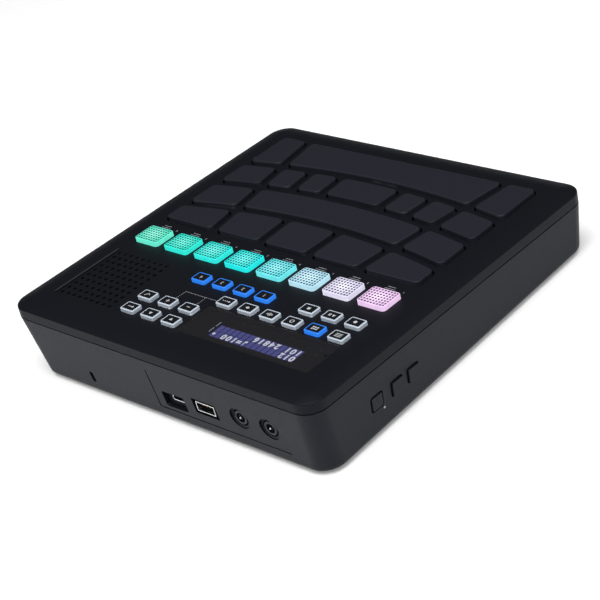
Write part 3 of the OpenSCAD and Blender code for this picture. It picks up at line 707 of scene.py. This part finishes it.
class DRUMPAD_OT_display(bpy.types.Operator):
    """Build the lit display under its smoked window"""

    bl_idname = "drumpad.display"
    bl_label = "Display"

    columns = 16
    cell = (3.05 * MM, 4.7 * MM)
    pitch = (3.65 * MM, 5.0 * MM)
    middle = Vector((-46.9 * MM, 80.0 * MM))
    lines = ("012      *=100 :", "101 24816       ")
    border = 0.6 * MM
    back_height = 0.1 * MM
    cell_height = 0.05 * MM
    figure = 5.6 * MM
    edge_x = -15.3 * MM
    edge_width = 0.3 * MM
    edge_bars = ((80.0 * MM, 4.2 * MM), (74.9 * MM, 4.0 * MM))
    lamp_places = ((-84.3 * MM, 75.8 * MM), (-84.3 * MM, 71.7 * MM))
    lamp_level = -1.68 * MM
    lamp_height = 0.06 * MM
    lamp_r = 0.7 * MM
    eye = (-91.2 * MM, 76.0 * MM)
    eye_r = 0.8 * MM

    def execute(self, context):
        window = merged("display_window")
        round_edges(window, top_edges(window, panel_box("display_window")[1].z), sizes().window_round, 2)
        finish_piece("window", window, [self.smoked()], BODY, "display_window")
        dress("display_module", moulded("Display_frame", tone(20, 20, 24), 0.4))
        level = panel_box("display_module")[1].z
        shape = bmesh.new()
        place = PANEL @ Matrix.Translation((0, 0, level))
        back = Marks(shape, place, 0, self.back_height)
        place_cells = place @ Matrix.Translation((0, 0, self.back_height))
        cells = Marks(shape, place_cells, 1, self.cell_height)
        place_signs = place @ Matrix.Translation((0, 0, self.back_height + self.cell_height))
        signs = Marks(shape, place_signs, 2, self.cell_height)
        edge = Marks(shape, place, 3, self.back_height)
        back.bar(self.middle, (self.columns * self.pitch[0] + self.border, 2 * self.pitch[1] + self.border))
        for row, text in enumerate(self.lines):
            y = self.middle.y + (0.5 - row) * self.pitch[1]
            for i in range(self.columns):
                x = self.middle.x + (i - (self.columns - 1) / 2) * self.pitch[0]
                cells.bar((x, y), self.cell)
                self.sign(signs, text[i], x, y)
        for y, tall in self.edge_bars:
            edge.bar((self.edge_x, y), (self.edge_width, tall))
        finishes = [
            lit("Display_dark", tone(40, 38, 95), 1.2),
            lit("Display_cell", tone(104, 106, 190), 4.2),
            lit("Display_sign", tone(235, 238, 255), 6.5),
            lit("Display_edge", tone(200, 205, 235), 5.0),
        ]
        finish_piece("display_light", shape, finishes, BODY)
        self.lamps()
        self.sensor()
        return {"FINISHED"}

    def sign(self, signs, text, x, y):
        """What a cell shows: a note for a star, a diamond for a colon, or the figure itself."""
        if text == "*":
            signs.disc((x - 0.4 * MM, y - 1.2 * MM), 0.8 * MM, 12)
            signs.bar((x + 0.3 * MM, y + 0.2 * MM), (0.45 * MM, 3.2 * MM))
        elif text == ":":
            signs.disc((x, y), 1.1 * MM, 4)
        elif text != " ":
            signs.words(text, (x, y), self.figure, 0.2 * MM)

    @staticmethod
    def smoked():
        """The window's smoked plastic, with the display showing through."""
        made = Finish("Window_smoked")
        made.mottle(tone(34, 34, 36), 0.03, 1200)
        made.rough(0.2, 0.24, 600)
        made.set(Alpha=0.7, Specular_IOR_Level=0.4)
        return made.material

    def lamps(self):
        """Two small unlit lamps beside the display, with a painted glow in their grey lenses."""
        shape = bmesh.new()
        marks = Marks(shape, PANEL @ Matrix.Translation((0, 0, self.lamp_level)), 0, self.lamp_height)
        for place in self.lamp_places:
            marks.disc(place, self.lamp_r)
        finish_piece("display_lamps", shape, [lit("Lamp_unlit_painted_glow", tone(110, 110, 112), 0.6)], BODY)

    def sensor(self):
        """A small dark eye at the window's left end."""
        shape = bmesh.new()
        Marks(shape, PANEL).disc(self.eye, self.eye_r, 24)
        finish_piece("window_eye", shape, [moulded("Eye_black", tone(6, 6, 7), 0.3, 0.1)], BODY)


class DRUMPAD_OT_sockets(bpy.types.Operator):
    """Finish the rear sockets and add their contacts"""

    bl_idname = "drumpad.sockets"
    bl_label = "Rear sockets"

    jack_x = (-56.2 * MM, -76.7 * MM)
    jack_z = 22.7 * MM
    jacks_past = -45 * MM
    bore = 2.0 * MM
    lead = 3.0 * MM
    small_tongue = (Vector((-7.0 * MM, 17.3 * MM)), Vector((3.0 * MM, 0.45 * MM)))
    large_tongue = (Vector((-30.7 * MM, 19.04 * MM)), Vector((5.6 * MM, 1.0 * MM)))
    strips_x = (-3.5 * MM, -1.0 * MM, 1.0 * MM, 3.5 * MM)
    strip = (1.0 * MM, 4.0 * MM)
    strip_back = 2.2 * MM
    strip_height = 0.05 * MM
    tip_back = 0.2 * MM
    tip_r = 0.35 * MM
    leaf_from_jack = Vector((1.25 * MM, -0.75 * MM, -1.1 * MM))
    leaf_facing = Vector((-0.23, 0.8, 0.55))
    leaf_r = 0.5 * MM
    leaf_height = 0.1 * MM
    # Finish slots; black serves the tongues' black moulding and also the painted shade in the jacks'
    # lead-ins.
    shell, nose, plated, black, gold = range(5)

    def execute(self, context):
        shape = merged("rear_sockets")
        for face in shape.faces:
            face.material_index = self.part_of(face)
        self.contacts(shape)
        finishes = [
            metal("Socket_shell", tone(228, 229, 232), 0.2),
            moulded("Jack_nose", tone(30, 31, 35), 0.5),
            metal("Jack_bore", tone(190, 190, 194), 0.25),
            # Near-black with little gloss: the tongues' own black moulding, and painted shade in the jacks'
            # lead-in cones.
            moulded("Socket_black_and_lead_in_shade", tone(5, 5, 6), 0.7, specular=0.05),
            metal("Contact_gold", tone(246, 206, 128), 0.3),
        ]
        finish_piece("sockets", shape, finishes, BODY, "rear_sockets", 30)
        return {"FINISHED"}

    def part_of(self, face):
        """Shell, nose, bore or near-black, by the face's place: near-black for the tongues' black moulding,
        and as painted shade on the jacks' lead-in cones.
        """
        flat = [Vector((v.co.x, v.co.z)) for v in face.verts]
        if face.calc_center_median().x > self.jacks_past:
            inside = any(
                all(abs(p.x - at.x) < half.x and abs(p.y - at.y) < half.y for p in flat)
                for at, half in (self.small_tongue, self.large_tongue)
            )
            return self.black if inside else self.shell
        near = min(self.jack_x, key=lambda x: abs(flat[0].x - x))
        reach = max((p - Vector((near, self.jack_z))).length for p in flat)
        if reach < self.bore:
            return self.plated
        # The lead-in cone between the bore and the nose takes the near-black as painted shade.
        return self.black if reach < self.lead else self.nose

    def contacts(self, shape):
        """Gold strips with bent tips on the large tongue, and a plated leaf in each jack."""
        at, half = self.large_tongue
        tongue = [
            v.co for v in shape.verts
            if abs(v.co.x - at.x) < half.x and abs(v.co.z - at.y) < half.y
        ]
        front = max(p.y for p in tongue)
        top = max(p.z for p in tongue)
        place = Matrix.Translation((at.x, front - self.strip_back, top))
        strips = Marks(shape, place, self.gold, self.strip_height)
        for x in self.strips_x:
            strips.bar((x, 0), self.strip)
        rear = max(v.co.y for v in shape.verts if v.co.x < self.jacks_past)
        leaves = [
            (Vector((x, rear, self.jack_z)) + self.leaf_from_jack, self.plated, self.leaf_r)
            for x in self.jack_x
        ]
        leaves += [
            (Vector((at.x + x, front - self.tip_back, top)), self.gold, self.tip_r)
            for x in self.strips_x
        ]
        facing = self.leaf_facing.to_track_quat("Z", "Y").to_matrix().to_4x4()
        for middle, finish, radius in leaves:
            turned = Matrix.Translation(middle) @ facing
            Marks(shape, turned, finish, self.leaf_height).disc((0, 0), radius, 16)


class DRUMPAD_OT_inner(bpy.types.Operator):
    """Finish the pieces inside the case"""

    bl_idname = "drumpad.inner"
    bl_label = "Inner pieces"

    def execute(self, context):
        board = moulded("Board_resist", tone(22, 74, 46), 0.35, 0.2, 700)
        for node in ("control_board", "pad_sensor_board", "main_board"):
            dress(node, board)
        dress("battery_pack", moulded("Battery_wrap", tone(38, 66, 124), 0.3, 0.1, 500))
        dress("speaker_driver", moulded("Speaker_frame", tone(26, 26, 28), 0.5, 0.15, 1200))
        return {"FINISHED"}


class DRUMPAD_OT_prints(bpy.types.Operator):
    """Print the plain marks on the panel"""

    bl_idname = "drumpad.prints"
    bl_label = "Panel marks"

    number_from_corner = (3.4 * MM, -2.2 * MM)
    number = 2.0 * MM
    line_from_pad = Vector((2.2 * MM, -2.4 * MM))
    line_pitch = 1.7 * MM
    line_widths = (7.0 * MM, 5.4 * MM)
    line_height = 0.3 * MM
    step = 1.1 * MM
    dash = (0.5 * MM, 0.4 * MM)
    from_mode = 0.6 * MM
    below_minus = 4.6 * MM

    def execute(self, context):
        grey = moulded("Grey_print", tone(150, 152, 158), 0.6, 0.05, 900)
        shape = bmesh.new()
        marks = Marks(shape, PANEL)
        for i, node in enumerate(COLOUR_PADS):
            low, high = panel_box(node)
            right, down = self.number_from_corner
            marks.words(str(i + 1), (low.x + right, low.y + down), self.number)
            x = (low.x + high.x) / 2 + self.line_from_pad.x
            for row, wide in enumerate(self.line_widths):
                y = low.y + self.line_from_pad.y - row * self.line_pitch
                marks.bar((x, y), (wide, self.line_height))
        self.link_line(marks)
        finish_piece("panel_marks", shape, [grey], BODY)
        return {"FINISHED"}

    def link_line(self, marks):
        """The dotted line that ties a mode button to minus and plus."""
        low, high = panel_box("mode_button_6")
        minus = sum(panel_box("minus_button"), Vector()) / 2
        plus = sum(panel_box("plus_button"), Vector()) / 2
        y = (low.y + high.y) / 2
        x = high.x + self.from_mode
        while x < plus.x:
            marks.bar((x, y), self.dash)
            x += self.step
        for across in (minus.x, plus.x):
            up = y
            while up < minus.y - self.below_minus:
                marks.bar((across, up), self.dash[::-1])
                up += self.step


class DRUMPAD_OT_stage(bpy.types.Operator):
    """Set up the floor, the lamps and the camera"""

    bl_idname = "drumpad.stage"
    bl_label = "Stage"

    lamps = (
        ("softbox_above", (-0.35, 0.45, 1.7), 1.6, 46),
        ("softbox_left", (-1.7, -0.2, 0.9), 1.0, 6.5),
        ("softbox_rear", (0.1, 1.75, 0.9), 1.0, 4.2),
    )
    lamp_target = Vector((0, 0, 0.03))
    floor_r = 4.0
    rim_height = 0.5
    rim_spread = 1.5
    camera_lens = 106.1
    camera_place = (-0.6334, 0.5279, 0.5152)
    camera_right = Vector((-0.7232, -0.6486, -0.2373))
    camera_forward = Vector((0.6577, -0.5418, -0.5234))

    def execute(self, context):
        self.floor()
        self.lights()
        self.camera()
        return {"FINISHED"}

    def floor(self):
        """A wide pale floor that turns up at its rim."""
        shape = bmesh.new()
        bmesh.ops.create_circle(shape, cap_ends=True, segments=64, radius=self.floor_r)
        rim = [e for e in shape.edges if e.is_boundary]
        grown = bmesh.ops.extrude_edge_only(shape, edges=rim)
        edge = [g for g in grown["geom"] if isinstance(g, bmesh.types.BMVert)]
        bmesh.ops.translate(shape, verts=edge, vec=(0, 0, self.rim_height))
        bmesh.ops.scale(shape, verts=edge, vec=(self.rim_spread, self.rim_spread, 1))
        for face in shape.faces:
            face.smooth = False
            face.normal_update()
        mesh = bpy.data.meshes.new("floor")
        shape.to_mesh(mesh)
        shape.free()
        made = Finish("Floor_white")
        made.mottle(tone(247, 247, 247), 0.01, 3)
        made.set(Roughness=0.9, Specular_IOR_Level=0.1)
        made.background(0.16)
        mesh.materials.append(made.material)
        floor = bpy.data.objects.new("floor", mesh)
        bpy.context.scene.collection.objects.link(floor)

    def lights(self):
        """A dim sky and three softboxes."""
        world = bpy.data.worlds.new("studio")
        bpy.context.scene.world = world
        world.use_nodes = True
        sky = world.node_tree.nodes["Background"]
        sky.inputs["Color"].default_value = (0.05, 0.05, 0.055, 1)
        sky.inputs["Strength"].default_value = 1.0
        for name, place, size, power in self.lamps:
            lamp = bpy.data.lights.new(name, "AREA")
            lamp.shape = "SQUARE"
            lamp.size = size
            lamp.energy = power
            holder = bpy.data.objects.new(name, lamp)
            holder.location = place
            aim = self.lamp_target - Vector(place)
            holder.rotation_euler = aim.to_track_quat("-Z", "Y").to_euler()
            bpy.context.scene.collection.objects.link(holder)

    def camera(self):
        """The photograph's view, from the rear left and above."""
        data = bpy.data.cameras.new("camera")
        data.sensor_width = 36
        data.lens = self.camera_lens
        data.clip_start = 0.05
        holder = bpy.data.objects.new("camera", data)
        right = self.camera_right.normalized()
        forward = self.camera_forward.normalized()
        up = right.cross(forward).normalized()
        right = forward.cross(up).normalized()
        turn = Matrix((right, up, -forward)).transposed().to_4x4()
        holder.matrix_world = Matrix.Translation(self.camera_place) @ turn
        bpy.context.scene.collection.objects.link(holder)
        bpy.context.scene.camera = holder
        bpy.context.scene.view_settings.view_transform = "Standard"


class DRUMPAD_PT_panel(bpy.types.Panel):
    """Lists the steps and the sizes and colours they use"""

    bl_idname = "DRUMPAD_PT_panel"
    bl_label = "Drum pad"
    bl_space_type = "VIEW_3D"
    bl_region_type = "UI"
    bl_category = "Drum pad"

    def draw(self, context):
        for name in STEPS:
            self.layout.operator("drumpad." + name)
        for group in (context.scene.drum_pad_sizes, context.scene.drum_pad_colours):
            for key in group.__annotations__:
                self.layout.prop(group, key)


STEPS = (
    "body", "drum_pads", "colour_pads", "buttons", "side_buttons",
    "display", "sockets", "inner", "prints", "stage",
)
CLASSES = (
    DrumPadSizes, DrumPadColours, DRUMPAD_OT_body, DRUMPAD_OT_drum_pads, DRUMPAD_OT_colour_pads,
    DRUMPAD_OT_buttons, DRUMPAD_OT_side_buttons, DRUMPAD_OT_display, DRUMPAD_OT_sockets, DRUMPAD_OT_inner,
    DRUMPAD_OT_prints, DRUMPAD_OT_stage, DRUMPAD_PT_panel,
)


def register():
    for made in CLASSES:
        bpy.utils.register_class(made)
    bpy.types.Scene.drum_pad_sizes = PointerProperty(type=DrumPadSizes)
    bpy.types.Scene.drum_pad_colours = PointerProperty(type=DrumPadColours)


def unregister():
    del bpy.types.Scene.drum_pad_sizes
    del bpy.types.Scene.drum_pad_colours
    for made in reversed(CLASSES):
        bpy.utils.unregister_class(made)


def main():
    register()
    for name in STEPS:
        getattr(bpy.ops.drumpad, name)()


if __name__ == "__main__":
    main()
